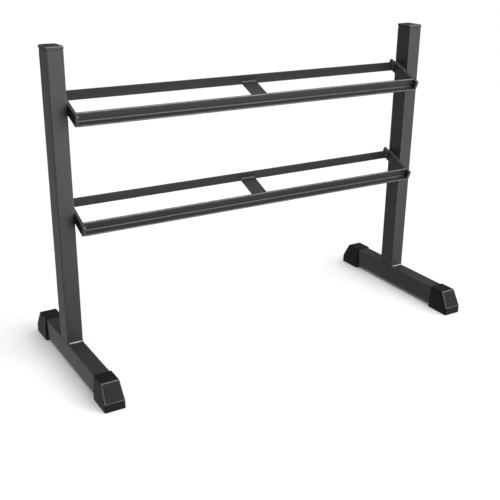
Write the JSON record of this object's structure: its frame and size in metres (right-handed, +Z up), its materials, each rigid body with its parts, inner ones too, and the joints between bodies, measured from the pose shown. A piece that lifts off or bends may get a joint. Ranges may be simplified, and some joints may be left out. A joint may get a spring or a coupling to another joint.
{
  "type": "dumbbell rack",
  "caption": "Free-standing dumbbell rack: tilted angle-iron shelves welded between tube uprights that stand on rubber-booted feet.",
  "frame": {"origin": "on the floor, under the centre of the bounding box: midway between the uprights and midway along the feet", "axes": "+X along the shelves to the right of somebody facing the rack; +Y from the front of the rack to its back; +Z up"},
  "size_m": [1.616, 0.722, 1.169],
  "materials": {
    "frame_paint": "satin dark grey powder coat",
    "weld_paint": "satin dark grey powder coat over weld bead",
    "cap_plastic": "fine moulded grain, dark grey",
    "boot_rubber": "matte black moulded rubber"
  },
  "bodies": {
    "root": {"left_upright": "frame_paint", "left_foot_tube": "frame_paint", "left_upright_cap": "cap_plastic", "left_foot_weld": "weld_paint", "front_left_boot": "boot_rubber", "rear_left_boot": "boot_rubber", "right_upright": "frame_paint", "right_foot_tube": "frame_paint", "right_upright_cap": "cap_plastic", "right_foot_weld": "weld_paint", "front_right_boot": "boot_rubber", "rear_right_boot": "boot_rubber", "upper_front_rail": "frame_paint", "upper_rear_rail": "frame_paint", "upper_cross_strip": "frame_paint", "upper_rail_welds": "weld_paint", "upper_strip_welds": "weld_paint", "upper_left_end_plate": "frame_paint", "upper_left_plate_weld": "weld_paint", "upper_right_end_plate": "frame_paint", "upper_right_plate_weld": "weld_paint", "lower_front_rail": "frame_paint", "lower_rear_rail": "frame_paint", "lower_cross_strip": "frame_paint", "lower_rail_welds": "weld_paint", "lower_strip_welds": "weld_paint", "lower_left_end_plate": "frame_paint", "lower_left_plate_weld": "weld_paint", "lower_right_end_plate": "frame_paint", "lower_right_plate_weld": "weld_paint"}
  },
  "joints": []
}
